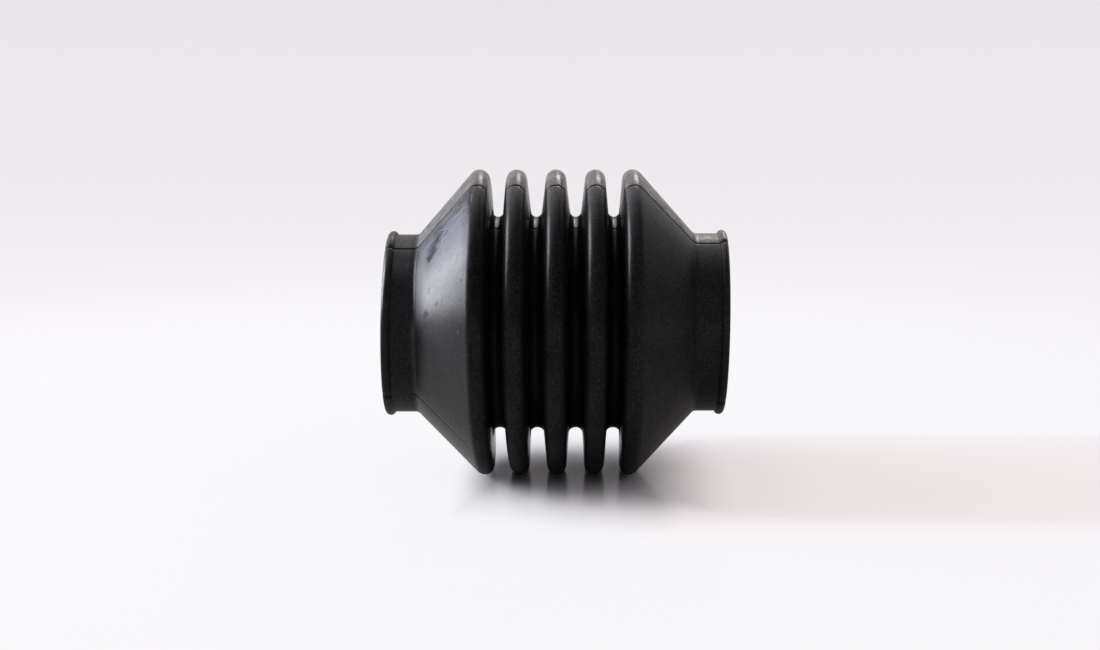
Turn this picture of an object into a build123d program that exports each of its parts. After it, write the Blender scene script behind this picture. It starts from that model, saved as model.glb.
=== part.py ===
"""Rubber bellows boot: two clamp cuffs joined by deep round-tipped folds, moulded in one piece.

The boot stands on one lip. The origin is the middle of that lip's end face, +Z runs along the
axis to the other lip, and lengths are in millimetres.
"""

import os
from math import acos, asin, atan2, cos, degrees, hypot, radians, sin

from build123d import *

# Cuffs: the straight ends that a band or hose clamp closes on the tube or housing inside them.
cuff_bore = 60.0
cuff_wall = 2.0
cuff_length = 11.8

# Lip bead: the round rim of each open end, which keeps the clamp from slipping off the cuff.
bead_height = 1.25
bead_radius = 1.6
lip_edge_radius = 0.4

# Folds: thin crests that stand far out over the grooves between them.
crest_count = 5
crest_diameter = 110.0
groove_diameter = 76.0
crest_hollow_radius = 1.3
groove_radius = 2.0
fold_pitch = 14.1
end_pitch = 13.4
fold_wall = 2.0

# Cones: each leads from a cuff out to the nearest crest.
cone_length = 22.0
cone_foot_radius = 1.8

# Radii from the axis that follow from those sizes.
bore_radius = cuff_bore / 2
cuff_radius = bore_radius + cuff_wall
bead_centre = cuff_radius + bead_height - bead_radius
crest_radius = crest_hollow_radius + fold_wall
crest_centre = crest_diameter / 2 - crest_radius
groove_centre = groove_diameter / 2 + groove_radius

# Heights of the crests and of the grooves halfway between them.
crest_gaps = [end_pitch] + [fold_pitch] * (crest_count - 3) + [end_pitch]
first_crest = cuff_length + cone_length
crest_heights = [first_crest + sum(crest_gaps[:crest]) for crest in range(crest_count)]
groove_heights = [(low + high) / 2 for low, high in zip(crest_heights, crest_heights[1:])]
boot_length = crest_heights[-1] + first_crest


def flank_slope(gap):
    """Angle between a fold's straight flank, which touches crest and groove, and the radius."""
    rise = crest_centre - groove_centre
    run = gap / 2
    return degrees(atan2(run, rise) - asin((crest_radius + groove_radius) / hypot(run, rise)))


def cone_slope():
    """Angle between a cone, which starts at the cuff and touches the crest, and the radius."""
    rise = crest_centre - cuff_radius
    return degrees(atan2(cone_length, rise) - asin(crest_radius / hypot(cone_length, rise)))


# The slopes below and above each crest: a cone, the flanks of the grooves and a cone.
slopes = [cone_slope()] + [flank_slope(gap) for gap in crest_gaps] + [cone_slope()]


def draw_folds(depth):
    """Draws the fold line that lies depth under the outer surface, and returns its end arcs."""
    arcs = []
    for crest, height in enumerate(crest_heights):
        below = slopes[crest]
        above = slopes[crest + 1]
        if crest > 0:
            groove = (groove_centre, groove_heights[crest - 1])
            arcs.append(CenterArc(groove, groove_radius + depth, 270 - below, 2 * below - 180))
        tip = (crest_centre, height)
        arcs.append(CenterArc(tip, crest_radius - depth, below - 90, 180 - below - above))
    for lower, upper in zip(arcs, arcs[1:]):
        Line(lower @ 1, upper @ 0)
    return arcs[0], arcs[-1]


# The bead leaves the cuff's surface at this angle from the radius through the bead's centre.
bead_angle = degrees(acos((cuff_radius - bead_centre) / bead_radius))
# Inside, the cone starts where its inner surface, one wall from the outer one, meets the bore.
cone_angle = radians(cone_slope())
bore_length = cuff_length + (fold_wall - cuff_wall * sin(cone_angle)) / cos(cone_angle)

with BuildPart() as bellows_boot:
    with BuildSketch(Plane.XZ) as section:
        with BuildLine():
            outer_start, outer_end = draw_folds(0)
            inner_start, inner_end = draw_folds(fold_wall)
            lower_centre = (bead_centre, bead_radius)
            upper_centre = (bead_centre, boot_length - bead_radius)
            lower_bead = CenterArc(lower_centre, bead_radius, -90, 90 + bead_angle)
            upper_bead = CenterArc(upper_centre, bead_radius, -bead_angle, 90 + bead_angle)
            Polyline(lower_bead @ 1, (cuff_radius, cuff_length), outer_start @ 0)
            Polyline(outer_end @ 1, (cuff_radius, boot_length - cuff_length), upper_bead @ 0)
            Polyline(lower_bead @ 0, (bore_radius, 0), (bore_radius, bore_length), inner_start @ 0)
            upper_bore = (bore_radius, boot_length - bore_length)
            Polyline(inner_end @ 1, upper_bore, (bore_radius, boot_length), upper_bead @ 1)
        make_face()
        for end, inward in ((0, 1), (boot_length, -1)):
            lip_edge = section.vertices().sort_by_distance((bore_radius, end))[0]
            fillet(lip_edge, lip_edge_radius)
            outer_foot = (cuff_radius, end + inward * cuff_length)
            fillet(section.vertices().sort_by_distance(outer_foot)[0], cone_foot_radius)
            inner_foot = (bore_radius, end + inward * bore_length)
            fillet(section.vertices().sort_by_distance(inner_foot)[0], cone_foot_radius + fold_wall)
    revolve(axis=Axis.Z)

bellows_boot.part.label = "bellows_boot"
os.makedirs("parts", exist_ok=True)
export_step(bellows_boot.part, "parts/bellows_boot.step")
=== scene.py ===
# %% [markdown]
# # A moulded rubber bellows boot
#
# A bellows boot is a rubber sleeve that keeps dirt out of a joint or off a sliding rod. Two straight cuffs
# are clamped to the parts at either side, and the thin folds between them stretch and close like a
# concertina.
#
# The lesson first loads the packed model, which says how large everything is and where it stands: on one
# lip, with its axis along +Z. All the code below works around that frame and moves nothing in it.

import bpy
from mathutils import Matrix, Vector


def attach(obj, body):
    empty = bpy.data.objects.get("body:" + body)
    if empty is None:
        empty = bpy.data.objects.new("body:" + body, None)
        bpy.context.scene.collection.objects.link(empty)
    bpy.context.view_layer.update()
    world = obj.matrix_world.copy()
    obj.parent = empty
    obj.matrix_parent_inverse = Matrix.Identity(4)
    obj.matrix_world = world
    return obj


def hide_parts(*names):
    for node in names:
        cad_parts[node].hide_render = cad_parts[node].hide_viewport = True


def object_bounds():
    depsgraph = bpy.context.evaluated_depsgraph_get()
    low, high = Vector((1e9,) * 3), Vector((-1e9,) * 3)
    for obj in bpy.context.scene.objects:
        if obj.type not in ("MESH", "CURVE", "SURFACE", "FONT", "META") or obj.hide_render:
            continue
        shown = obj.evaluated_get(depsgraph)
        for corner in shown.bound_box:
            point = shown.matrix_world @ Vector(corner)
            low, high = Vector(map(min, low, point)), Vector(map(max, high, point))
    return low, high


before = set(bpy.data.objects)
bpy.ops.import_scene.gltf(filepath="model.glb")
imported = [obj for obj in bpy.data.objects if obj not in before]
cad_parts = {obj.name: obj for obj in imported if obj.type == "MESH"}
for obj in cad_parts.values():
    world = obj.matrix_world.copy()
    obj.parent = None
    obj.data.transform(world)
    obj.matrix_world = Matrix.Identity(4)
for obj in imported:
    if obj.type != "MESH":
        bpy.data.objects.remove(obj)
cad_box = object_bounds()
print("CAD box in metres:", [tuple(round(value, 4) for value in corner) for corner in cad_box])

# %% Bring in the tools and read the boot's size
from collections import namedtuple
from functools import reduce
from math import acos, asin, atan2, ceil, cos, degrees, hypot, pi, radians, sin, tan

import bpy
import numpy as np
from mathutils import Matrix, Vector

MM = 0.001  # a millimetre in Blender's metres
boot_length = (cad_box[1].z - cad_box[0].z) / MM
crest_radius_out = cad_box[1].y / MM
boot_axis = Vector((0, 0, 1))
middle = boot_length / 2
boot_middle = Vector((0, 0, middle))
print(f"length {boot_length:.1f} mm, {2 * crest_radius_out:.1f} mm over the crests")

# %% [markdown]
# ## The camera
#
# The boot is shown lying on its crests, so the camera is rolled by a quarter turn: the picture's up is the
# frame's +X, and its right is -Z. A long lens from three quarters of a metre keeps the two cuffs nearly
# alike. A camera can be pushed about until the view looks right, but here the view is known, so its place
# is worked out: from the middle of the boot back along the line of sight, and then sideways by as much as
# that middle is off the picture's own.

# %% Work out where the camera stands
image_size = (1100, 650)
axis_middle_pixel = (556.1, 321.95)  # where the middle of the boot's axis shows
camera_distance = 751.7
pixels_per_mm = 2.766  # at the axis
near_end_turn = radians(0.71)  # the lower lip is turned this much towards the camera

forward = Vector((0, cos(near_end_turn), sin(near_end_turn)))
picture_up = Vector((1, 0, 0))
picture_right = forward.cross(picture_up)
offset_right = (axis_middle_pixel[0] - image_size[0] / 2) / pixels_per_mm
offset_up = (image_size[1] / 2 - axis_middle_pixel[1]) / pixels_per_mm
camera_place = boot_middle - camera_distance * forward - offset_right * picture_right - offset_up * picture_up
print("camera at", tuple(round(value, 1) for value in camera_place), "mm")

# %% [markdown]
# Everything that looks or shines somewhere needs a matrix. In Blender a camera looks along its own -Z with
# +Y up, and so does a lamp. Two directions are therefore enough: which way is up, and which way is back.
# The third follows from them, and the three make the columns of the matrix.

# %% Place the camera
sensor_width = 36
clip_range = (0.01, 20)  # the nearest and the furthest thing that the camera sees, in metres


def add_object(name, data):
    """Puts a mesh, a lamp or a camera into the scene as an object."""
    made = bpy.data.objects.new(name, data)
    bpy.context.scene.collection.objects.link(made)
    return made


def facing(place, up, back):
    """The matrix of something at a place in metres, with its own +Y along up and its own +Z along back."""
    turned = Matrix((up.cross(back), up, back)).transposed()
    return Matrix.Translation(place) @ turned.to_4x4()


camera_data = bpy.data.cameras.new("camera")
camera_data.sensor_width = sensor_width
camera_data.lens = camera_distance * pixels_per_mm * sensor_width / image_size[0]
camera_data.clip_start, camera_data.clip_end = clip_range
camera = add_object("camera", camera_data)
camera.matrix_world = facing(camera_place * MM, picture_up, -forward)
bpy.context.scene.camera = camera
print(f"lens {camera_data.lens:.1f} mm")

# %% [markdown]
# ## The section of the boot
#
# A bellows is round, so all of its form is in one section: the line that a saw cut through the wall would
# show. It could be drawn by hand as a long list of points, but it is only arcs joined by straight runs: the
# lip's bead, the foot of each cone, and a round tip and a round floor for every fold. Each arc touches its
# neighbours, so its centre, its radius and the two angles at which it touches say everything, and the inner
# face is the same line one wall further in. These are the sizes that the mould has, in millimetres.

# %% Sizes of the section
cuff_radius = 32.0
wall = 2.0
cuff_length = 11.8
bead_height = 1.25
bead_radius = 1.6
bead_root_radius = 0.25
lip_edge_radius = 0.4
crest_count = 5
crest_radius = 3.65
groove_radius = 2.0
groove_floor_radius = 38.0
fold_pitch = 14.1
end_pitch = 13.4
cone_length = 22.0
cone_foot_radius = 3.0

bore_radius = cuff_radius - wall
upper_foot = boot_length - cuff_length  # height at which the upper cone meets its cuff
crest_centre = crest_radius_out - crest_radius
groove_centre = groove_floor_radius + groove_radius
crest_gaps = [end_pitch] + [fold_pitch] * (crest_count - 3) + [end_pitch]
first_crest = cuff_length + cone_length
crest_heights = [first_crest + sum(crest_gaps[:crest]) for crest in range(crest_count)]
last_crest = crest_heights[-1]
groove_heights = [(low + high) / 2 for low, high in zip(crest_heights, crest_heights[1:])]
print("crests at", crest_heights, "grooves at", groove_heights)


# %% Slopes of the straight runs
def touching_slope(rise, run, radii):
    """Angle from the boot's radius, in degrees, of a straight run that touches the arcs at its two ends."""
    return degrees(atan2(run, rise) - asin(radii / hypot(run, rise)))


cone_slope = touching_slope(crest_centre - cuff_radius, cone_length, crest_radius)
flank_slopes = [
    touching_slope(crest_centre - groove_centre, gap / 2, crest_radius + groove_radius) for gap in crest_gaps
]
slopes = [cone_slope] + flank_slopes + [cone_slope]
print("cone", round(cone_slope, 2), "flanks", [round(slope, 2) for slope in flank_slopes])

# %% [markdown]
# Arcs have to become short straight steps, because a mesh knows nothing else. A step every twelve degrees
# looks round on the outside with smooth shading. The inside, which shows little, and the tiny arcs of the
# lip get by with longer ones. A straight run needs no points along it, only one just inside each end. They
# keep the shading of the arcs from leaking into it.

# %% Helpers that draw arcs
outer_step = 12.0  # degrees of an arc for each of its straight steps
inner_foot_step, inner_fold_step = 16.0, 18.0
lip_edge_step, bead_root_step = 30.0, 24.0
fewest_steps = 3
straight_margin = 0.3  # how far inside each end of a straight run its point lies
shortest_run = 3 * straight_margin  # a shorter run needs no points of its own


def arc(centre, radius, start, end, step=outer_step):
    """Points of an arc in the plane of (distance from the axis, height), angles in degrees."""
    steps = max(fewest_steps, ceil(abs(end - start) / step))
    angles = [radians(start + (end - start) * number / steps) for number in range(steps + 1)]
    return [(centre[0] + radius * cos(angle), centre[1] + radius * sin(angle)) for angle in angles]


def mirrored(points):
    """The same points at the other end of the boot, in the order in which the line meets them."""
    return [(radius, boot_length - height) for radius, height in reversed(points)]


def joined(arcs):
    """One line through the arcs, with a point just inside each end of every straight run between them."""
    points = list(arcs[0])
    for following in arcs[1:]:
        start, end = points[-1], following[0]
        run = hypot(end[0] - start[0], end[1] - start[1])
        if run > shortest_run:
            for share in (straight_margin / run, 1 - straight_margin / run):
                points.append(tuple(a + (b - a) * share for a, b in zip(start, end)))
        points += following
    return points


print("a quarter turn takes", len(arc((0, 0), 1, 0, 90)) - 1, "steps outside")


# %% Draw the cones' feet and the folds
def cone_foot(depth, step=outer_step):
    """The hollow curve between a cuff and its cone, depth under the outer face."""
    setback = cone_foot_radius * tan(radians(90 - cone_slope) / 2)
    centre = (cuff_radius + cone_foot_radius, cuff_length - setback)
    return arc(centre, cone_foot_radius + depth, 180, 90 + cone_slope, step)


def folds(depth, step=outer_step):
    """The arcs of all crests and grooves, depth under the outer face, from the lower cone to the upper."""
    arcs = []
    for crest, crest_height in enumerate(crest_heights):
        below, above = slopes[crest], slopes[crest + 1]
        if crest > 0:
            centre = (groove_centre, groove_heights[crest - 1])
            arcs.append(arc(centre, groove_radius + depth, 270 - below, 90 + below, step))
        arcs.append(arc((crest_centre, crest_height), crest_radius - depth, below - 90, 90 - above, step))
    return arcs


print(len(folds(0)), "arcs in the folds, one for each crest and groove")

# %% Draw the lip and join the section
bore_start = 1.0  # height at which the bore begins, past the lip's rounded edge

bead_centre = (cuff_radius + bead_height - bead_radius, bead_radius)
root_distance = bead_radius + bead_root_radius
bead_end = degrees(acos((cuff_radius + bead_root_radius - bead_centre[0]) / root_distance))
root_centre = (cuff_radius + bead_root_radius, bead_centre[1] + root_distance * sin(radians(bead_end)))
lip = [
    arc((bore_radius + lip_edge_radius, lip_edge_radius), lip_edge_radius, 180, 270, lip_edge_step),
    arc(bead_centre, bead_radius, -90, bead_end),
    arc(root_centre, bead_root_radius, 180 + bead_end, 180, bead_root_step),
]


def whole_line(lower_end, fold_arcs):
    """The line from lip to lip: the lower end, the folds, and the same end once more at the top."""
    return joined(lower_end + fold_arcs + [mirrored(part) for part in reversed(lower_end)])


outer_line = whole_line(lip + [cone_foot(0)], folds(0))
bore_end = [[(bore_radius, bore_start)], cone_foot(wall, inner_foot_step)]
inner_line = whole_line(bore_end, folds(wall, inner_fold_step))
section = np.array(outer_line + inner_line[::-1])
is_outside = np.array([1.0] * len(outer_line) + [0.0] * len(inner_line))
print(len(outer_line), "points outside and", len(inner_line), "inside")

# %% [markdown]
# ## The mould's parting lines
#
# The mould for the outside comes apart in three sectors, and where they meet a fine line runs the length of
# the boot over every fold. A picture of a line on the surface would look painted on, so the lines are
# pressed into the mesh. That needs columns of faces that run along each line at set distances from it, a
# fraction of a millimetre apart, while the rest of the boot gets by with even, wider columns. Two of the
# lines wander a few degrees on their way up the upper cone, where the real moulding was twisted as it came
# off its core.

# %% Where the lines run
seam_azimuths = (60.0, 180.0, 300.0)  # degrees round from -Y towards +X
worn_line = 2  # its number among them
first_line_turn, first_turns_over = -5.2, (last_crest + 2, upper_foot)  # degrees, and between which heights
worn_line_turn, worn_turns_over = 9.0, (last_crest - 1, last_crest + 6)


def smooth(value, start, end):
    """0 before start, 1 after end, with a smooth rise between them."""
    share = np.clip((value - start) / (end - start), 0, 1)
    return share * share * (3 - 2 * share)


def seam_turns(height):
    """How far each line has wandered from its azimuth at these heights, in degrees."""
    first_turn = first_line_turn * smooth(height, *first_turns_over)
    worn_turn = worn_line_turn * smooth(height, *worn_turns_over)
    return (first_turn, 0 * height, worn_turn)


print("turns of the lines at the upper cuff:", [float(turn) for turn in seam_turns(upper_foot)], "degrees")

# %% Columns of faces around the boot
seam_gaps = (0.14, 0.3, 0.55, 1.3)  # distances of the columns beside each line, in millimetres
even_columns = 79  # between one line's columns and the next one's
even_margin = 3.2  # degrees left free beside a line for its own columns


def columns(distances, heights):
    """Azimuth of every column at every point, its distance from the nearest line, and that line's number."""
    turns = seam_turns(heights)
    found = []
    for number, seam in enumerate(seam_azimuths):
        following_number = (number + 1) % len(seam_azimuths)
        full_turn = 0 if following_number else 360
        here = seam + turns[number]
        following = seam_azimuths[following_number] + turns[following_number] + full_turn
        found.append((here, 0 * distances, number))
        for gap in seam_gaps:
            found.append((here + np.degrees(np.arcsin(gap / distances)), gap + 0 * distances, number))
        for step in range(even_columns):
            share = step / (even_columns - 1)
            azimuth = here + even_margin + (following - here - 2 * even_margin) * share
            turn = np.radians(np.minimum(azimuth - here, following - azimuth))
            gap = distances * np.sin(np.minimum(turn, pi / 2))
            found.append((azimuth, gap, number if share < 0.5 else following_number))
        for gap in reversed(seam_gaps):
            turned_back = following - np.degrees(np.arcsin(gap / distances))
            found.append((turned_back, gap + 0 * distances, following_number))
    return [np.array(values) for values in zip(*found)]


azimuth, seam_gap, seam_number = columns(section[:, 0], section[:, 1])
print(azimuth.shape[0], "columns of", azimuth.shape[1], "points:", 2 * azimuth.size, "triangles")

# %% [markdown]
# ## Pressing the lines in
#
# Every point of the outside moves a little inwards along the section's own normal: a narrow groove under
# each line, wider and softer where the line is worn on the upper cone, and a deeper nick where a line
# crosses the round bead of a lip. A bell curve over the distance from the line gives a groove with soft
# shoulders. A bump in the material would be cheaper, but the boot's outline would stay smooth where a line
# crosses it. Nothing moves outwards, so the boot stays within its true size.

# %% Parts of the boot that the lines treat differently
bead_skin = 0.4  # how far under the cuff's face the bead still counts, in millimetres
nick_runs_out = (2.6, 3.4)  # distances from the lip, in millimetres
worn_from = (last_crest + 3, last_crest + 8)  # heights between which the worn line sets in
worn_past_foot = 1.0  # and how far past the cone's foot it goes on
rim_fade = (bore_radius + 0.6, cuff_radius - 0.4)  # no groove reaches in over the lip's end face

tangent = np.roll(section, -1, axis=0) - np.roll(section, 1, axis=0)
normal = np.stack([tangent[:, 1], -tangent[:, 0]], axis=1) / np.linalg.norm(tangent, axis=1)[:, None]
distance, height = section[:, 0], section[:, 1]
from_lip = np.minimum(height, boot_length - height)
on_bead = is_outside * (distance > cuff_radius - bead_skin) * (1 - smooth(from_lip, *nick_runs_out))
on_upper_cone = smooth(height, *worn_from) * (height < upper_foot + worn_past_foot)
off_the_rim = smooth(distance, *rim_fade)
print(int((on_bead > 0).sum()), "points of the section are on the beads")

# %% Press the lines in
groove_depth, groove_width = 0.30, 0.27  # of the two sharp lines, in millimetres
worn_depth, worn_width = 0.2, 0.75
faint_share = 0.15  # of the worn line outside the upper cone, where it has nearly closed up
nick_depth, nick_width = 0.5, 0.75
worn_strength = (0.05, 0.60)  # how dark the worn line is, against the sharp ones: elsewhere, and on the cone


def blend(first, second, share):
    """The first where share is 0 and the second where it is 1, for numbers, arrays and wires alike."""
    return first + (second - first) * share


sharp = groove_depth * np.exp(-((seam_gap / groove_width) ** 2))
worn = worn_depth * np.exp(-((seam_gap / worn_width) ** 2))
nick = nick_depth * np.exp(-((seam_gap / nick_width) ** 4)) * on_bead  # the fourth power flattens its floor
is_worn_line = (seam_number == worn_line)[:, None]
line_depth = np.where(is_worn_line, blend(faint_share * sharp, worn, on_upper_cone), sharp)
depth = (line_depth + nick) * is_outside * off_the_rim
line_strength = np.where(is_worn_line, blend(*worn_strength, on_upper_cone), 1.0) * is_outside
print(f"deepest nick {depth.max():.2f} mm")

# %% [markdown]
# ## Letting the boot sag
#
# Soft rubber gives way under its own weight, so nothing on this boot is quite as straight as its mould.
# Where the crests carry it, on the side of -X, they lean towards the middle and their flanks stand more
# upright, so the gaps between them are slots there and not wedges. Both cuffs have tilted by about a
# degree, and the upper one hangs a little low. A cloth simulation could find such a shape, but it is slow
# and hard to hold to a size. Here each of these moves is one smooth formula of height and side, and a
# tilted lip only ever moves inwards, so that the boot stays within its true length.

# %% Bend each point round the axis and let the crests lean
lean = 1.84  # of the outermost crests where they carry the boot, in millimetres
lean_shift = -0.32  # of all crests together there
leaning_starts = (cuff_length - 2, first_crest - 6)  # distances from the lip

pressed_distance = distance - depth * normal[:, 0]
pressed_height = height - depth * normal[:, 1]
turn = np.radians(azimuth)
x = pressed_distance * np.sin(turn)
y = -pressed_distance * np.cos(turn)

from_middle = np.clip((pressed_height - middle) / (last_crest - middle), -1, 1)
under = np.clip(-x / crest_radius_out, 0, 1)
leaned = lean_shift * under**2 - lean * from_middle * under**3
z = pressed_height + leaned * smooth(from_lip, *leaning_starts)
print(f"largest lean {np.abs(z - pressed_height).max():.2f} mm")

# %% Pinch the flanks near their grooves
flank_pinch = 1.2  # in millimetres
pinch_runs_out = (40, 46)  # distances from the axis, in millimetres

nearest = np.abs(height[:, None] - np.array(crest_heights)).argmin(axis=1)
offset = height - np.array(crest_heights)[nearest]
gap_above, gap_below = np.array(crest_gaps + [end_pitch]), np.array([end_pitch] + crest_gaps)
swing = np.sin(2 * pi * offset / np.where(offset > 0, gap_above[nearest], gap_below[nearest]))
swing = swing * (height > first_crest) * (height < last_crest)
z = z - flank_pinch * swing * (1 - smooth(distance, *pinch_runs_out)) * under**2
print(f"the pinch acts on {int((np.abs(swing) > 0).sum())} points of the section")

# %% Tilt the lips and let the upper cuff droop
lip_inset, lip_tilt = 0.65, 0.5  # how far the lips move in, and how much more or less at their rims
lip_moves_within = (cuff_length - 8, cuff_length + 4)  # distances from the lip
upper_droop = 0.38
droop_fades = (cuff_length, first_crest)

share_up = np.clip(x / cuff_radius, -1, 1)
upper_end = height > middle
end_share = 1 - smooth(from_lip, *lip_moves_within)
z = z + end_share * np.where(upper_end, -lip_inset - lip_tilt * share_up, lip_inset - lip_tilt * share_up)
x = x - upper_droop * upper_end * (1 - smooth(from_lip, *droop_fades))
print(f"the boot is now {z.max() - z.min():.2f} mm long")

# %% [markdown]
# ## Building the mesh
#
# For a plain round thing Blender's Screw modifier would turn the section round the axis. Here the columns
# bunch up along lines that wander, so the mesh is made directly. The columns and the points of the section
# are a grid that closes on itself both ways, and every face is a quad between two neighbouring columns.

# %% Make the boot
column_count, point_count = azimuth.shape
places = np.stack([x, y, z], axis=2).reshape(-1, 3) * MM
grid = np.arange(column_count * point_count).reshape(column_count, point_count)
next_column = np.roll(grid, -1, axis=0)
corners = [grid, np.roll(grid, -1, axis=1), np.roll(next_column, -1, axis=1), next_column]
faces = np.stack(corners, axis=2).reshape(-1, 4)

boot_mesh = bpy.data.meshes.new("rubber_boot")
boot_mesh.from_pydata(places.tolist(), [], faces.tolist())
boot_mesh.polygons.foreach_set("use_smooth", [True] * len(faces))
boot = add_object("rubber_boot", boot_mesh)
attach(boot, "root")
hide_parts("bellows_boot")
print(len(boot_mesh.vertices), "points,", len(boot_mesh.polygons), "quads")

# %% [markdown]
# The finish has to know where on the boot it is: how far from a line, how high, and in which mould sector.
# After the sag the place of a point no longer says so exactly, so these facts are stored on the points as
# attributes, as they were in the mould, and a material can read each one by its name.

# %% Store facts on the points
from_front = (azimuth + 180) % 360 - 180  # 0 at -Y, positive towards +X
first_line, hidden_line, third_line = (seam + turn for seam, turn in zip(seam_azimuths, seam_turns(height)))
facts = {
    "seam_gap": seam_gap,
    "azimuth": from_front,
    "height": height + 0 * azimuth,
    "distance": distance + 0 * azimuth,
    "outside": is_outside + 0 * azimuth,
    "top_sector": (azimuth >= first_line) & (azimuth <= hidden_line),
    "under_sector": (azimuth > hidden_line) & (azimuth < third_line),
    "line_strength": line_strength,
}
for name, values in facts.items():
    attribute = boot_mesh.attributes.new(name, "FLOAT", "POINT")
    attribute.data.foreach_set("value", values.astype(np.float32).ravel())
boot_mesh.validate()
boot_mesh.update()
print("each point knows its", ", ".join(facts))

# %% [markdown]
# ## A wrapper for shader maths
#
# A finish is mostly arithmetic on masks: where the bloom lies, times how much, minus where it was rubbed
# off. Adding a Math node by hand for each step hides that sum in a web of links. This small class wraps a
# node's output socket, so that an ordinary Python expression adds the Math nodes, and one method adds any
# other node.


# %% Sockets that can be added and multiplied
class Wire:
    """A node's output socket, which arithmetic turns into Math nodes."""

    def __init__(self, socket):
        self.socket = socket

    @staticmethod
    def node(tree, kind, settings=None, sockets=None, output=0):
        """Adds a node, settings first and then the values or wires of its sockets, and returns an output."""
        made = tree.nodes.new("ShaderNode" + kind)
        for name, value in (settings or {}).items():
            if name == "stops":
                while len(made.color_ramp.elements) < len(value):
                    made.color_ramp.elements.new(0.5)  # each is moved to its own place just below
                for element, (position, shade) in zip(made.color_ramp.elements, value):
                    element.position, element.color = position, (*shade, 1)
            else:
                setattr(made, name, value)
        for name, value in (sockets or {}).items():
            if isinstance(value, Wire):
                tree.links.new(value.socket, made.inputs[name])
            else:
                made.inputs[name].default_value = value
        return Wire(made.outputs[output]) if made.outputs else None

    def maths(self, operation, *values):
        """A Math node on these values, some of them wires."""
        sockets = dict(enumerate(values))
        return Wire.node(self.socket.id_data, "Math", {"operation": operation}, sockets)

    def __add__(self, other):
        return self.maths("ADD", self, other)

    def __sub__(self, other):
        return self.maths("SUBTRACT", self, other)

    def __rsub__(self, other):
        return self.maths("SUBTRACT", other, self)

    def __mul__(self, other):
        return self.maths("MULTIPLY", self, other)

    def __abs__(self):
        return self.maths("ABSOLUTE", self)

    __radd__ = __add__
    __rmul__ = __mul__

    def between(self, start, end):
        """0 before start, 1 after end, smooth between them. With start above end it falls instead."""
        rising = start < end
        low, high = (start, end) if rising else (end, start)
        sockets = {"Value": self, "From Min": low, "From Max": high, "To Min": 0.0, "To Max": 1.0}
        risen = Wire.node(self.socket.id_data, "MapRange", {"interpolation_type": "SMOOTHSTEP"}, sockets)
        return risen if rising else 1 - risen

    def at_least(self, other):
        return self.maths("MAXIMUM", self, other)

    def at_most(self, other):
        return self.maths("MINIMUM", self, other)


print("a wire has", ", ".join(name for name, value in vars(Wire).items() if callable(value)))

# %% [markdown]
# ## The rubber
#
# Moulded rubber is close to black, and what the eye sees is mostly its sheen. Three things make it look
# real. The mould sectors differ: one left a dull, paler skin that dust clings to, and the sector at the
# front came off smooth. The upper cone has a film, from the wax that works its way out of rubber with age,
# that shines like satin and is scuffed. And everywhere there is a fine grain with specks of dust. Painted
# image textures could hold all that, but they would need unwrapping and fit one mesh only. Here the colour,
# the roughness and a thin coat are mixed by masks, made from the facts stored on the points and from noise
# at a real scale. A mask is 0 where it has no say and 1 where it has all of it.

# %% Start the rubber
rubber = bpy.data.materials.new("moulded_rubber")
rubber.use_nodes = True
tree = rubber.node_tree
tree.nodes.clear()


def fact(name):
    """A fact stored on the boot's points."""
    return Wire.node(tree, "Attribute", {"attribute_name": name}, output="Fac")


side = fact("azimuth")
tall = fact("height")
out = fact("distance")
outside = fact("outside")
top = fact("top_sector") * outside
under_side = fact("under_sector") * outside
line_shade_fade = (0.6, 0.2)  # distances from a line, in millimetres, between which the painted shade of its groove sets in
on_line = fact("seam_gap").between(*line_shade_fade) * fact("line_strength")
print("the facts take", len(tree.nodes), "nodes")

# %% Noise and colours
most_of_it = (0.3, 0.7)  # nearly all of a noise lies between these
position = Wire.node(tree, "TexCoord", output="Object")


def noise(grain, detail=3.0, roughness=0.55, stretch=(1, 1, 1)):
    """Noise from 0 to 1 in patches about grain millimetres across, times stretch along each axis."""
    scale = [1 / (grain * MM * factor) for factor in stretch]
    placed = Wire.node(tree, "VectorMath", {"operation": "MULTIPLY"}, {0: position, 1: scale})
    sockets = {"Vector": placed, "Scale": 1.0, "Detail": detail, "Roughness": roughness}
    return Wire.node(tree, "TexNoise", {"normalize": True}, sockets)


def mix_colour(factor, first, second):
    """The first colour where factor is 0 and the second where it is 1."""
    sockets = {0: factor, 6: first, 7: second}  # between them lie Mix's sockets for numbers and vectors
    return Wire.node(tree, "Mix", {"data_type": "RGBA"}, sockets, output=2)


coarse_grain = noise(grain=0.75, detail=3.0, roughness=0.7).between(*most_of_it)
print("with the coarse grain there are", len(tree.nodes))

# %% [markdown]
# ### Bloom on the dull sector
#
# The dull sector is grey rather than black, and unevenly so: cloudy patches a few millimetres wide,
# blotches, a fine speckle, and a few brownish finger marks on the cuffs. It stops sharply at the parting
# lines, because it is the mould's doing, so the sector's own mask is its edge. The crests and cones wear
# most of it. Deep in the folds most of the grey is left out, which paints shade into them. On the
# flanks just above the grooves a pale grey is painted as the reflection that they show when seen edge on.
#
# Most masks fade between two places, so their numbers come in pairs: where the fade starts, and where it is
# complete. Heights and distances from the axis are in millimetres as moulded, and sides are azimuths in
# degrees, 0 at the front and 90 at the top.

# %% Where the bloom lies
near_cuff = (cuff_length + 4, cuff_length - 1)  # heights
near_upper_cuff = (upper_foot - 4, upper_foot + 1)
folds_open_out = (46.0, 52.0)  # distances from the axis between which the folds open out
lower_cone = (first_crest + 1, first_crest - 1)
upper_cone = (last_crest - 1, last_crest + 1)
speckle_peaks, finger_peaks = (0.35, 0.75), (0.52, 0.68)  # the part of a noise that shows

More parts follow.
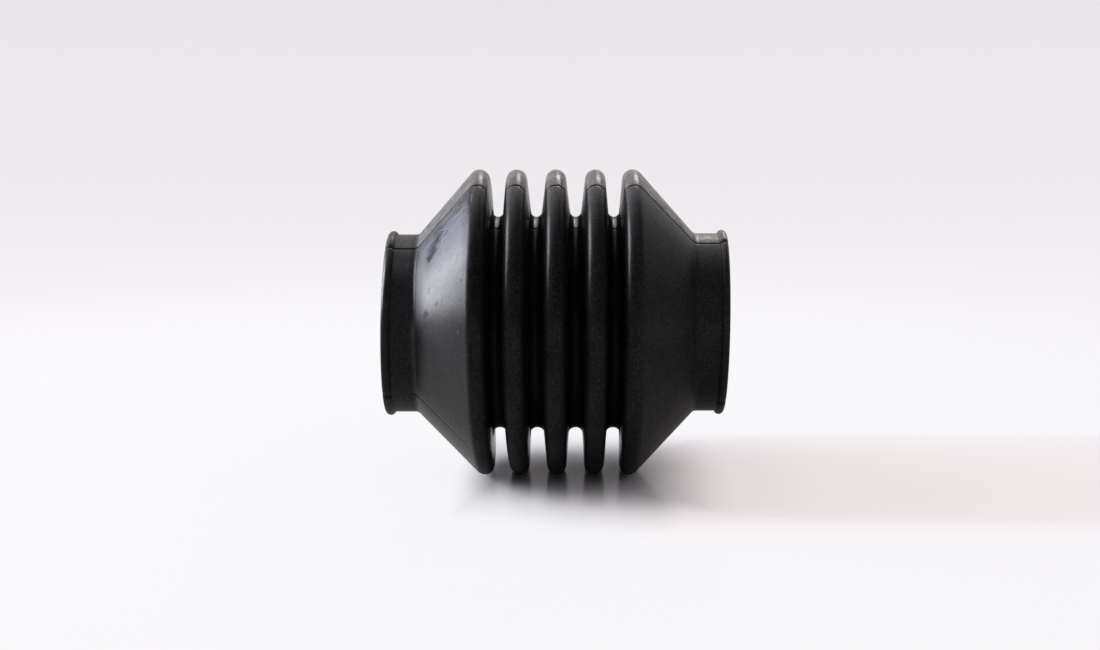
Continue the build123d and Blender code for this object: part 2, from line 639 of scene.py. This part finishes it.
on_cuffs = (tall.between(*near_cuff) + tall.between(*near_upper_cuff)).at_most(1.0)
# The crests and cones, outside the folds' shade.
outside_fold_shade = out.between(*folds_open_out).at_least(tall.between(*lower_cone)).at_least(tall.between(*upper_cone))
clouds = noise(grain=7.0).between(*most_of_it)
speckle = noise(grain=0.55, detail=2.0).between(*speckle_peaks)
blotches = noise(grain=2.2, detail=4.0, roughness=0.6).between(*most_of_it)
finger_marks = noise(grain=9.0, detail=1.0).between(*finger_peaks) * on_cuffs
print("the bloom's masks bring it to", len(tree.nodes))

# %% How strong the bloom is
bloom_in_fold_shade = 0.1  # of that outside the folds; leaving out the rest paints shade into them
even_bloom, cloud_bloom, speckle_bloom, blotch_bloom = 0.3, 0.3, 0.15, 0.3
flank_reflection_distances = ((41.5, 43.5), (53.0, 50.5))  # from the axis, where the painted reflection on the flanks starts and stops
flank_reflection_heights = ((first_crest, first_crest + 0.5), (last_crest, last_crest - 0.5))

# Most of the bloom is left out of the folds, which paints shade into them.
bloom = top * blend(bloom_in_fold_shade, 1.0, outside_fold_shade)
bloom = bloom * (even_bloom + cloud_bloom * clouds + speckle_bloom * speckle + blotch_bloom * blotches)
# A pale grey painted on the dull sector's flanks, as the reflection they show when seen edge on.
painted_flank_reflection = top
for start, end in flank_reflection_distances:
    painted_flank_reflection = painted_flank_reflection * out.between(start, end)
for start, end in flank_reflection_heights:
    painted_flank_reflection = painted_flank_reflection * tall.between(start, end)
print("bloom and veil bring it to", len(tree.nodes))

# %% [markdown]
# ### Marks of use
#
# The cone at the upper end has been rubbed and scratched: broad scuffs, strokes beside them and a few pits.
# Each is a stroke between two points on the cone, unrolled to millimetres around it and down it, with an
# edge broken up by noise. It is easiest to say where a mark is by where the camera sees it, so a helper
# follows the camera's ray until it meets the boot, and hands back the azimuth and the height there. From
# then on the mark belongs to the surface.

# %% Find a place on the cone
down_mm = 1 / sin(radians(cone_slope))  # millimetres down the cone for one of height
ray_steps = 20  # the search below settles well within these


def cone_radius(height_there):
    """Distance of the upper cone's face from the axis at a height."""
    return cuff_radius + (upper_foot - height_there) / tan(radians(cone_slope))


def cone_place(pixel):
    """Azimuth in degrees and height in millimetres of the place on the cone that shows at a pixel."""
    focal_pixels = camera_distance * pixels_per_mm
    ray = forward + (pixel[0] - image_size[0] / 2) / focal_pixels * picture_right
    ray = ray + (image_size[1] / 2 - pixel[1]) / focal_pixels * picture_up
    place = Vector((0, 0, upper_foot - cone_length / 2))
    for _ in range(ray_steps):  # each meets a cylinder as wide as the cone is at the last place found
        square = ray.x**2 + ray.y**2
        half = camera_place.x * ray.x + camera_place.y * ray.y
        rest = camera_place.x**2 + camera_place.y**2 - cone_radius(place.z) ** 2
        place = camera_place + ray * ((-half - max(half**2 - square * rest, 0) ** 0.5) / square)
    return degrees(atan2(place.x, -place.y)), place.z


cone_middle_pixel = (440, 275)
print("the middle of the cone is at", tuple(round(value, 1) for value in cone_place(cone_middle_pixel)))

# %% [markdown]
# A mark says at which pixels it starts and ends, how wide it is in millimetres and how strong, from 0 to 1.
# It may also say how ragged its edge is and what share of it is soft. A named tuple keeps these apart, and
# every mark has a name of its own, so that it can be found again and moved.

# %% Draw a stroke on the cone
Mark = namedtuple("Mark", "start_pixel end_pixel width strength ragged softness", defaults=(3.0, 1.0))
ragged_edge = noise(grain=2.6, detail=5.0, roughness=0.75) - 0.5  # as often below 0 as above it


def stroke(mark, spread):
    """The mark's strength along its line, spread times as wide as it says in millimetres, and 0 outside."""
    places = [Vector(cone_place(pixel)) for pixel in (mark.start_pixel, mark.end_pixel)]
    round_mm = cone_radius((places[0].y + places[1].y) / 2) * pi / 180
    start, end = (Vector((round_mm * place.x, down_mm * place.y)) for place in places)
    run, centre = end - start, (start + end) / 2
    step = run.normalized()
    along = side * (round_mm * step.x) + tall * (down_mm * step.y) - centre.dot(step)
    across = tall * (down_mm * step.x) - side * (round_mm * step.y) - centre.dot(Vector((-step.y, step.x)))
    past_end = (abs(along) - run.length / 2).at_least(0.0)
    half_width = spread * mark.width / 2
    from_line = (past_end * past_end + across * across) * (1 / half_width**2)  # 0 on it, 1 at the mark's edge
    frayed = from_line + ragged_edge * mark.ragged
    return mark.strength * frayed.between(1.0, 1.0 - mark.softness)


def strongest(marks, spread=1.0):
    """Wherever marks overlap, the strongest of them shows."""
    return reduce(Wire.at_least, [stroke(mark, spread) for mark in marks.values()])


print("a mark has:", ", ".join(Mark._fields))

# %% Scuffs that rubbed the film away
scuffs = {
    "broad scuff": Mark((438.5, 231.0), (436.0, 243.0), 7.5, 0.5),
    "frayed scuff by the crest": Mark((471.0, 191.5), (464.0, 201.0), 5.5, 0.42, ragged=8.0),
    "long dark streak": Mark((438.5, 237.0), (429.3, 256.0), 2.8, 0.8, ragged=5.0, softness=0.8),
    "wide streak in the middle": Mark((434.5, 241.0), (431.0, 250.0), 5.2, 0.6, ragged=5.0, softness=0.8),
    "streak beside it": Mark((441.0, 233.0), (434.0, 247.0), 3.2, 0.6, ragged=5.0, softness=0.8),
    "foot of the streaks": Mark((433.5, 250.0), (430.0, 256.5), 4.6, 0.7, ragged=5.0, softness=0.8),
}
worn_by_scuffs = strongest(scuffs)
print(len(scuffs), "scuffs bring it to", len(tree.nodes), "nodes")

# %% Small strokes and pits
small_spread = 1.8  # their soft edges make them this many times as wide as their cores
small_marks = {
    "stroke above the scuff": Mark((442.0, 228.0), (449.5, 218.0), 1.1, 0.5),
    "nick beside the scuff": Mark((443.7, 235.6), (447.6, 231.0), 0.8, 0.45),
    "short stroke higher up": Mark((453.7, 212.2), (461.4, 207.8), 0.8, 0.55),
    "its small neighbour": Mark((462.6, 212.2), (465.3, 209.4), 0.6, 0.5),
    "stroke down from the crest": Mark((466.5, 196.0), (468.5, 203.0), 1.0, 0.5),
    "stroke across it": Mark((458.0, 203.5), (467.0, 194.5), 0.8, 0.5),
    "long stroke along the top": Mark((447.5, 219.5), (458.5, 211.5), 0.7, 0.4),
    "small pit": Mark((437.5, 302.2), (436.0, 303.8), 1.1, 0.5),
    "large pit by the foot": Mark((426.3, 312.0), (424.3, 314.6), 1.4, 0.6),
    "dot by the crest": Mark((461.4, 280.2), (461.4, 281.0), 0.8, 0.5),
    "faint stroke by the foot": Mark((428.7, 288.0), (428.7, 292.5), 0.8, 0.3),
    "low stroke by the crest": Mark((452.6, 310.0), (452.6, 321.0), 0.6, 0.3),
    "low stroke in the middle": Mark((441.4, 298.0), (441.0, 306.0), 0.5, 0.35),
    "hair stroke in the bright part": Mark((456.0, 262.0), (459.0, 250.0), 0.6, 0.2),
}
rubbed = worn_by_scuffs.at_least(strongest(small_marks, small_spread))
print(len(small_marks), "small marks bring it to", len(tree.nodes), "nodes")

# %% Pale scratches
scratches = {
    "scratch over the scuff": Mark((437.0, 231.7), (446.4, 228.9), 0.35, 0.4, ragged=0.8, softness=0.6),
    "scratch by the crest": Mark((472.0, 192.2), (470.9, 200.0), 0.6, 0.4, ragged=1.5, softness=0.6),
    "pale dot low down": Mark((457.6, 331.0), (457.8, 333.4), 0.9, 0.2, ragged=2.0, softness=0.9),
    "hair scratch": Mark((434.0, 229.4), (448.7, 216.9), 0.4, 0.15, ragged=1.2, softness=0.6),
}
scratched = strongest(scratches)
print(len(scratches), "scratches bring it to", len(tree.nodes), "nodes")

# %% [markdown]
# ### The waxy film
#
# Wax works its way out of old rubber and shines like satin wherever nothing has rubbed it off. It is
# thickest on the upper cone, good on the dull sector, and thins out over the smooth sector towards the
# front, where the boot was handled. On the cone it is brushed into streaks that run down the cone near the
# parting line, and it grows thinner towards the crest. A shader's coat is just such a film: a second, clear
# gloss on top of the rubber's own, with a weight from 0 to 1 that says how much of it there is. So the film
# is one more mask, put together zone by zone.

# %% Texture of the film
streaks_per_mm = 0.9
streak_squash = 0.16  # a streak is this much shorter across the cone than down it
cone_mm_per_degree = 42 * pi / 180  # round the cone, halfway down it
streak_depth = 0.05  # how fast the streaks change from one distance to another
brushed_sides = (36.0, 50.0)  # azimuths between which the streaks set in
streak_peaks, patch_peaks = (0.42, 0.68), (0.25, 0.6)
patch_stretch = (1, 1, 1.6)

unrolled = {0: side * cone_mm_per_degree, 1: tall * (down_mm * streak_squash), 2: out * streak_depth}
streak_place = Wire.node(tree, "CombineXYZ", sockets=unrolled)
streak_noise = {"Vector": streak_place, "Scale": streaks_per_mm, "Detail": 4.0, "Roughness": 0.65}
streaks = Wire.node(tree, "TexNoise", sockets=streak_noise).between(*streak_peaks)
brushed = streaks * side.between(*brushed_sides)
film_patches = noise(grain=4.5, detail=5.0, stretch=patch_stretch).between(*patch_peaks)
film_specks = noise(grain=0.9, detail=3.0).between(*most_of_it)
print("the film's texture brings it to", len(tree.nodes))

# %% Thickness of the film down the cone and round it
cone_starts, cone_stops = (last_crest + 1.0, last_crest + 2.8), (upper_foot + 1.6, upper_foot + 0.2)
low_at_crest, low_at_foot = 0.40, 1.02  # on the cone's side
low_heights = (last_crest + 1.0, upper_foot - 2.0)
high_at_crest, high_gain, high_loss = 0.54, 0.25, 0.20  # further up, towards the parting line
gain_heights, loss_heights = (last_crest + 2.5, last_crest + 5.5), (upper_foot - 12.0, upper_foot - 3.0)
low_to_high = (12.0, 30.0)  # azimuths from here on
upper_losses = ((0.10, (24.0, 34.0)), (0.16, (36.0, 50.0)))
handled_film, handled_sides = 0.37, (-14.0, 2.0)
lowest_loss, lowest_sides = 0.1, (-18.0, -42.0)

low_thickness = blend(low_at_crest, low_at_foot, tall.between(*low_heights))
high_thickness = high_at_crest + high_gain * tall.between(*gain_heights)
high_thickness = high_thickness - high_loss * tall.between(*loss_heights)
thickness = blend(low_thickness, high_thickness, side.between(*low_to_high))
for loss, sides in upper_losses:
    thickness = thickness * (1 - loss * side.between(*sides))
thickness = blend(handled_film, thickness, side.between(*handled_sides))
thickness = thickness - lowest_loss * side.between(*lowest_sides)
on_cone = outside * tall.between(*cone_starts) * tall.between(*cone_stops) * (1 - top)
print("the film's thickness brings it to", len(tree.nodes))

# %% Film on the cone
brushed_off = 0.4
plain_share, patch_share, speck_share, grain_share = 0.80, 0.12, 0.08, 0.16

cone_film = on_cone * thickness * (1 - rubbed) * (1 - brushed_off * brushed)
cone_film = cone_film * (
    plain_share + patch_share * film_patches + speck_share * film_specks + grain_share * coarse_grain
)
print("film on the cone brings it to", len(tree.nodes))

# %% [markdown]
# Off the cone the film is thin at the front and grows towards the top. The dull sector keeps a patchy film
# of its own. Flanks that nothing reaches keep all of theirs, and the round floors of the grooves shine only
# along their very deepest line, which gives each gap a small glint at its end.

# %% Film on the cuffs, the folds and the dull sector
front_film = 0.03
front_gains = ((0.38, (-15.0, 25.0)), (0.14, (38.0, 56.0)))  # gains, and the azimuths between which they come
cuff_gains = ((0.8, (0.0, 14.0)), (-0.45, (34.0, 46.0)))
cuff_loss = 0.2
upper_cuff_starts = (upper_foot - 1, upper_foot + 1)
even_dull, cloud_dull, blotch_dull, dull_cuff_loss = 0.38, 0.3, 0.42, 0.65
grain_range = (0.72, 1.28)


def film_round(gains):
    """The film at the front, with what it gains or loses on the way up round the boot."""
    return sum((gain * side.between(*sides) for gain, sides in gains), front_film)


on_upper_cuff = tall.between(*upper_cuff_starts)
thin_film = blend(film_round(front_gains) * (1 - cuff_loss * on_cuffs), film_round(cuff_gains), on_upper_cuff)
dull_film = (even_dull + cloud_dull * clouds + blotch_dull * blotches) * (1 - dull_cuff_loss * on_upper_cuff)
moulded_film = blend(thin_film, dull_film, top) * blend(*grain_range, coarse_grain)
print("film on the rest brings it to", len(tree.nodes))

# %% Film in the grooves
groove_distances = (42.0, 39.5)  # from the axis
grooves_start, grooves_stop = (first_crest, first_crest + 2.0), (last_crest, last_crest - 2.0)  # heights
deepest_line = (38.25, 38.02)
floor_least, floor_front_gain, front_sides = 0.04, 0.2, (-15.0, 25.0)
floor_top_gain, top_sides = 0.76, (84.0, 70.0)
flank_distances = (40.0, 42.5)

groove_floor = out.between(*groove_distances) * tall.between(*grooves_start) * tall.between(*grooves_stop)
floor_shine = floor_least + floor_front_gain * side.between(*front_sides)
floor_shine = (floor_shine + floor_top_gain * top * side.between(*top_sides)) * out.between(*deepest_line)
flanks = (1 - outside_fold_shade) * (top + under_side) * out.between(*flank_distances)
moulded_film = blend(blend(moulded_film, floor_shine, groove_floor), 1.0, flanks)
print("the grooves bring it to", len(tree.nodes))

# %% [markdown]
# Just above the corner at the cone's foot a pale bluish band is painted in as the window's highlight,
# which the cuff hides from the real reflection there, while the corner itself is left matt. Without the
# band the corner would look too dark, because it mirrors the cuff.

# %% Painted highlight in the cone's foot
corner_starts, corner_stops = (upper_foot - 0.8, upper_foot + 0.2), (upper_foot + 2.4, upper_foot + 1.2)
corner_loss = 0.6
foot_highlight_heights = ((upper_foot - 5.6, upper_foot - 1.8), (upper_foot - 0.6, upper_foot - 1.4))
foot_highlight_sides = ((-6.0, 20.0), (54.0, 26.0))
foot_highlight_strength = 0.55

in_the_corner = tall.between(*corner_starts) * tall.between(*corner_stops)
film = cone_film.at_least(outside * (1 - on_cone) * moulded_film) * (1 - corner_loss * in_the_corner)
# A pale bluish band painted just above the corner, standing in for the window's highlight.
painted_foot_highlight = foot_highlight_strength * outside * (1 - top) * (1 - rubbed)
for heights, sides in zip(foot_highlight_heights, foot_highlight_sides):
    painted_foot_highlight = painted_foot_highlight * tall.between(*heights) * side.between(*sides)
print("the corner brings it to", len(tree.nodes))

# %% [markdown]
# ### Colour, roughness and grain together
#
# Last, the masks meet in one shader. The rubber itself is two blacks mixed by its grain, with paler dust on
# the cuffs and the lower cone, put only on their upper half, which leaves painted shade on the underside.
# Over it go the bloom, the painted reflection on the flanks, the painted highlight in the cone's foot, the
# dust specks, the scratches and the painted shade along the lines, each as one more Mix of colours, in this
# order. Rubber filled with carbon black swallows light. Its own gloss is set nearly to nothing, because the
# coat gives the sheen and two glosses would look like lacquer. A bump is enough for the grain, which is too
# fine to show at the boot's outline.

# %% Colour of the rubber
deep_black, worn_black = (0.0006, 0.0005, 0.0009, 1), (0.0240, 0.0234, 0.0250, 1)
bloom_grey, finger_brown = (0.070, 0.061, 0.052, 1), (0.095, 0.070, 0.048, 1)
flank_reflection_grey = (0.20, 0.19, 0.18, 1)
foot_highlight_blue = (0.36, 0.38, 0.42, 1)
dust_grey = (0.25, 0.25, 0.26, 1)
scratch_grey = (0.34, 0.34, 0.36, 1)
line_shade_black = (0.002, 0.002, 0.002, 1)
cloud_shade, grain_shade, upper_dust_share = 0.2, 0.45, 0.3
dusty_heights, upper_dust_sides = (first_crest + 1, first_crest - 2), (-50.0, 0.0)
dust_peaks, dust_strength = (0.52, 0.72), 0.07

# Paler with dust on the cuffs and the lower cone, but only on the upper half: leaving it out below paints
# shade on the underside.
upper_dust_lower_shade = tall.between(*dusty_heights).at_least(on_cuffs) * side.between(*upper_dust_sides)
wide_clouds = noise(grain=12.0).between(*most_of_it)
shade = cloud_shade * wide_clouds + grain_shade * coarse_grain + upper_dust_share * upper_dust_lower_shade
dust = noise(grain=0.7, detail=2.0).between(*dust_peaks)
colour = mix_colour(shade, deep_black, worn_black)
colour = mix_colour(bloom, colour, mix_colour(finger_marks, bloom_grey, finger_brown))
# Painted reflection: pale grey on the flanks of the dull sector.
colour = mix_colour(painted_flank_reflection, colour, flank_reflection_grey)
# Painted highlight: a pale blue band in the cone's foot.
colour = mix_colour(painted_foot_highlight, colour, foot_highlight_blue)
colour = mix_colour(dust_strength * dust * outside, colour, dust_grey)
colour = mix_colour(scratched * outside, colour, scratch_grey)
# Along the parting lines the colour goes black: painted shade in their narrow grooves.
colour = mix_colour(on_line, colour, line_shade_black)
print("the colour brings it to", len(tree.nodes))

# %% Finish the rubber
matt, grain_gloss = 0.50, 0.08
bump_strength, bump_distance = 0.3, 0.0002  # the distance is in metres
rubber_gloss = 0.05
film_roughness, film_ior = 0.26, 1.6

grain = noise(grain=0.35, detail=2.0)
bumps = {"Strength": bump_strength, "Distance": bump_distance, "Height": grain + blotches * top * outside_fold_shade}
surface = {
    "Base Color": colour,
    "Roughness": matt + grain_gloss * grain,
    "Specular IOR Level": rubber_gloss,
    "Coat Weight": film * (1 - on_line),
    "Coat Roughness": film_roughness,
    "Coat IOR": film_ior,
    "Normal": Wire.node(tree, "Bump", sockets=bumps),
}
shaded = Wire.node(tree, "BsdfPrincipled", sockets=surface)
Wire.node(tree, "OutputMaterial", sockets={"Surface": shaded})
boot_mesh.materials.append(rubber)
print("the rubber has", len(tree.nodes), "nodes")

# %% [markdown]
# ## The floor
#
# The pale sheet that the boot lies on touches all five crests on the side of -X, and leans back from the
# camera by the angle at which the camera looks down on it. It is smooth card with a weak gloss, which shows
# a soft mirror image of the crests close to where they touch it. A single quad is enough, as it is flat and
# has no edge in view.

# %% Lay the floor
look_down = radians(10.0)
floor_half = 1500.0  # half its side, in millimetres
floor_up = Vector((cos(look_down), -sin(look_down), 0))
floor_back = Vector((sin(look_down), cos(look_down), 0))
floor_middle = (boot_middle - crest_radius_out * floor_up) * MM  # where the boot touches it

floor_mesh = bpy.data.meshes.new("floor")
corner_signs = ((-1, -1), (-1, 1), (1, 1), (1, -1))
floor_corners = [floor_middle + floor_half * MM * (a * floor_back + b * boot_axis) for a, b in corner_signs]
floor_mesh.from_pydata([tuple(corner) for corner in floor_corners], [], [(0, 1, 2, 3)])
if floor_mesh.polygons[0].normal.dot(floor_up) < 0:
    floor_mesh.flip_normals()
floor = add_object("floor", floor_mesh)
print("the floor's normal is", tuple(round(value, 3) for value in floor_mesh.polygons[0].normal))

# %% Places on the floor
card = bpy.data.materials.new("pale_card")
card.use_nodes = True
tree = card.node_tree
tree.nodes.clear()
place = Wire.node(tree, "NewGeometry", output="Position")
from_middle = Wire.node(tree, "VectorMath", {"operation": "SUBTRACT"}, {0: place, 1: tuple(floor_middle)})


def floor_distance(direction):
    """How far a point of the floor lies in a direction from where the boot touches it, in millimetres."""
    sockets = {0: from_middle, 1: tuple(direction / MM)}
    return Wire.node(tree, "VectorMath", {"operation": "DOT_PRODUCT"}, sockets, output="Value")


in_front = floor_distance(-floor_back)
leftwards = floor_distance(boot_axis)
away = Wire.node(tree, "VectorMath", {"operation": "LENGTH"}, {0: from_middle}, output="Value")
print("the floor knows its places after", len(tree.nodes), "nodes")

# %% [markdown]
# Near the boot the card keeps its true shadow. Further out light from all the room fills the shadow up,
# more than three lamps can, so there the card is evened out towards a plain pale tone. The masks below say
# how open each place is: in front of the boot, behind it, at its bright left, and less so at the right,
# where the long shadow falls. That shadow is a little warmer than the card.

# %% How open the floor is
front_edge = (28.0, 96.0)  # distances in front of the boot, in millimetres
left_shift, left_sides = 18, (-10.0, 28.0)  # the edge comes nearer towards the left
right_shift, right_sides = 10, (-32.0, -46.0)
back_edge = (-18.0, -65.0)
left_edge = (20.0, 38.0)
right_gains = ((0.72, (-26.0, -66.0)), (0.1, (-60.0, -110.0)))
shadow_sides, shadow_front, shadow_back = (-10.0, -45.0), (95.0, 50.0), (-60.0, -15.0)

shifted = in_front + left_shift * leftwards.between(*left_sides)
shifted = shifted + right_shift * leftwards.between(*right_sides)
in_the_open = shifted.between(*front_edge).at_least(in_front.between(*back_edge))
in_the_open = in_the_open.at_least(leftwards.between(*left_edge))
in_the_open = in_the_open.at_least(sum(gain * leftwards.between(*sides) for gain, sides in right_gains))
in_shadow = in_front.between(*shadow_front) * in_front.between(*shadow_back)
in_shadow = in_shadow * leftwards.between(*shadow_sides)
print("the open and the shadow bring it to", len(tree.nodes))

# %% [markdown]
# The plain tone is there for the camera, for mirror images and for what shows through glass, which Light
# Path tells apart, and other light still meets plain card. The card fades out where the backdrop takes
# over. Its back is clear, so that it doesn't hide the boot from a camera behind it.

# %% Finish the card
card_surface = {"Base Color": (0.95, 0.935, 0.95, 1), "Roughness": 0.13, "Specular IOR Level": 0.03}
open_tone, shadow_tone = (0.965, 0.95, 0.965, 1), (0.98, 0.89, 0.885, 1)
most_evened = 0.9  # the share of the card that the plain tone covers where it is strongest
fades_out = (0.62, 0.28)  # distances from the boot, in metres


def is_ray(kind):
    """1 for rays of this kind, by Light Path's name for it, and 0 for the others."""
    return Wire.node(tree, "LightPath", output=f"Is {kind} Ray")


sheet = Wire.node(tree, "BsdfPrincipled", sockets=card_surface)
clear = Wire.node(tree, "BsdfTransparent")
tone = mix_colour(in_shadow, open_tone, shadow_tone)
plain = Wire.node(tree, "Emission", sockets={"Color": tone, "Strength": 1.0})
seen = is_ray("Camera") + is_ray("Glossy") + is_ray("Transmission")
evened = Wire.node(tree, "MixShader", sockets={0: most_evened * in_the_open * seen, 1: sheet, 2: plain})
shown = away.between(*fades_out) * (1 - Wire.node(tree, "NewGeometry", output="Backfacing"))
covered = Wire.node(tree, "MixShader", sockets={0: shown, 1: clear, 2: evened})
Wire.node(tree, "OutputMaterial", sockets={"Surface": covered})
floor_mesh.materials.append(card)
print("the card has", len(tree.nodes), "nodes")

# %% [markdown]
# ## The light
#
# Black rubber shows its form only by what it reflects. One large soft window, off to the left and a little
# above and behind the boot, draws the broad highlight on the cone and the thin ones on the shoulders of the
# folds. An area lamp is right for it, because its straight lower edge shows as a straight edge in the
# highlight. A second, bluer and much weaker one beside it is a patch of sky, which carries the highlight on
# round the cone. Both hang by a bearing and a rise above the floor, and their strength is given as how
# bright their face is, so that a change of size leaves the tone of the highlight alone.

# %% Hang the windows
window_distance = 1.5  # from the middle of the boot, in metres


def hang_window(name, size, bearing, rise, brightness, colour):
    """An area lamp that faces the boot: bearing, from the left round to the back, and rise in degrees."""
    bearing, rise = radians(bearing), radians(rise)
    outwards = cos(bearing) * boot_axis + sin(bearing) * floor_back
    direction = cos(rise) * outwards + sin(rise) * floor_up
    lamp = bpy.data.lights.new(name, "AREA")
    lamp.shape = "RECTANGLE"
    lamp.size, lamp.size_y = size
    lamp.energy = brightness * pi * size[0] * size[1]
    lamp.color = colour
    hung = add_object(name, lamp)
    hung_up = cos(rise) * floor_up - sin(rise) * outwards
    hung.matrix_world = facing(boot_middle * MM + window_distance * direction, hung_up, direction)
    hung.visible_camera = False
    return lamp


window = hang_window(
    "window", size=(0.80, 1.17), bearing=12.0, rise=24.7, brightness=7.6, colour=(0.95, 0.97, 1.06)
)
sky = hang_window(
    "sky_window", size=(0.665, 0.53), bearing=39.5, rise=16.0, brightness=2.2, colour=(0.80, 0.93, 1.25)
)
print(f"window {window.energy:.1f} W, sky {sky.energy:.1f} W")

# %% [markdown]
# A small round lamp high up behind puts the bright spots on top of the crests and in the grooves between
# them. A sun lamp does it: its light comes from one direction all along the boot, so that all five crests
# shine alike, and its angle sets how large the round patch of light is.

# %% Hang the ceiling lamp
lamp_angle = radians(15.0)
lamp_brightness = 4.2
lamp_direction = Vector((0.63, 0.76, -0.18))
lamp_colour = (1.0, 0.955, 0.89)

ceiling_lamp = bpy.data.lights.new("ceiling_lamp", "SUN")
ceiling_lamp.angle = lamp_angle
ceiling_lamp.energy = lamp_brightness * pi * sin(lamp_angle / 2) ** 2
ceiling_lamp.color = lamp_colour
ceiling_object = add_object("ceiling_lamp", ceiling_lamp)
ceiling_object.rotation_euler = lamp_direction.to_track_quat("Z", "Y").to_euler()
print(f"ceiling lamp {ceiling_lamp.energy:.3f} W for each square metre")

# %% [markdown]
# ## The room
#
# The rest of the room is pale above and behind the boot and dim on the camera's side, which keeps the front
# of the folds black. Below the level of the floor the room is as pale as the floor, as if the floor went
# on. All that could be built from walls, but the world can be painted by direction instead, which costs
# nothing to render. Light Path splits it in three: a pale backdrop for the camera and for glass, the room
# with its dark side for reflections, and a plain level for the light that falls on the boot.

# %% Where the room is pale
back_wall_turns = (0.0, 0.7)  # each pair is a share of a direction, 0 square to it and 1 straight along it
dim_right, dim_right_turns = 0.3, (-0.2, -0.8)
ceiling_lean = (0.8, 0.6)  # up, and towards the left
ceiling_turns, ceiling_front_turns = (0.3, 1.0), (-0.6, 0.2)
below_turns = (0.03, -0.12)
dark_side, back_wall_tone, ceiling_tone, below_tone = 0.04, 0.85, 1.2, 0.95

world = bpy.data.worlds.new("room")
bpy.context.scene.world = world
world.use_nodes = True
tree = world.node_tree
tree.nodes.clear()
direction = Wire.node(tree, "TexCoord", output="Generated")
upward, backward, leftward = (
    Wire.node(tree, "SeparateXYZ", sockets={0: direction}, output=name) for name in "XYZ"
)
back_wall = backward.between(*back_wall_turns) * (1 - dim_right * leftward.between(*dim_right_turns))
overhead = ceiling_lean[0] * upward + ceiling_lean[1] * leftward
ceiling = overhead.between(*ceiling_turns) * backward.between(*ceiling_front_turns)
reflected = dark_side + back_wall_tone * back_wall + ceiling_tone * ceiling
reflected = reflected.at_least(below_tone * upward.between(*below_turns))
print("the room's tones take", len(tree.nodes), "nodes")

# %% Paint the room
backdrop_stops = [  # from straight down to straight up, with the level of the eye at a half
    (0.0, (0.95, 0.93, 0.95)),
    (0.48, (0.96, 0.935, 0.96)),
    (0.53, (0.86, 0.83, 0.86)),
    (0.6, (0.80, 0.765, 0.80)),
    (1.0, (0.78, 0.75, 0.78)),
]
plain_least, plain_gain, plain_turns = 0.2, 0.5, (0.05, 0.8)

level = upward * 0.5 + 0.5  # 0 straight down, 1 straight up
backdrop = Wire.node(tree, "ValToRGB", {"stops": backdrop_stops}, {0: level})
light_level = plain_least + plain_gain * upward.between(*plain_turns)
light_level = blend(light_level, 1.0, is_ray("Camera") + is_ray("Transmission"))
light_level = blend(light_level, reflected, is_ray("Glossy"))
glow = Wire.node(tree, "Background", sockets={"Color": backdrop, "Strength": light_level})
Wire.node(tree, "OutputWorld", sockets={"Surface": glow})
print("the room has", len(tree.nodes), "nodes")

# %% [markdown]
# ## Picture settings
#
# Blender's usual view transform softens bright tones as film does, and it would turn a pale backdrop grey.
# Standard shows each colour as it was written.

# %% Show colours as written
bpy.context.scene.view_settings.view_transform = "Standard"
print("view transform:", bpy.context.scene.view_settings.view_transform)

# %% [markdown]
# ## Sizes, and the end
#
# The boot's box as loaded is printed at the start.
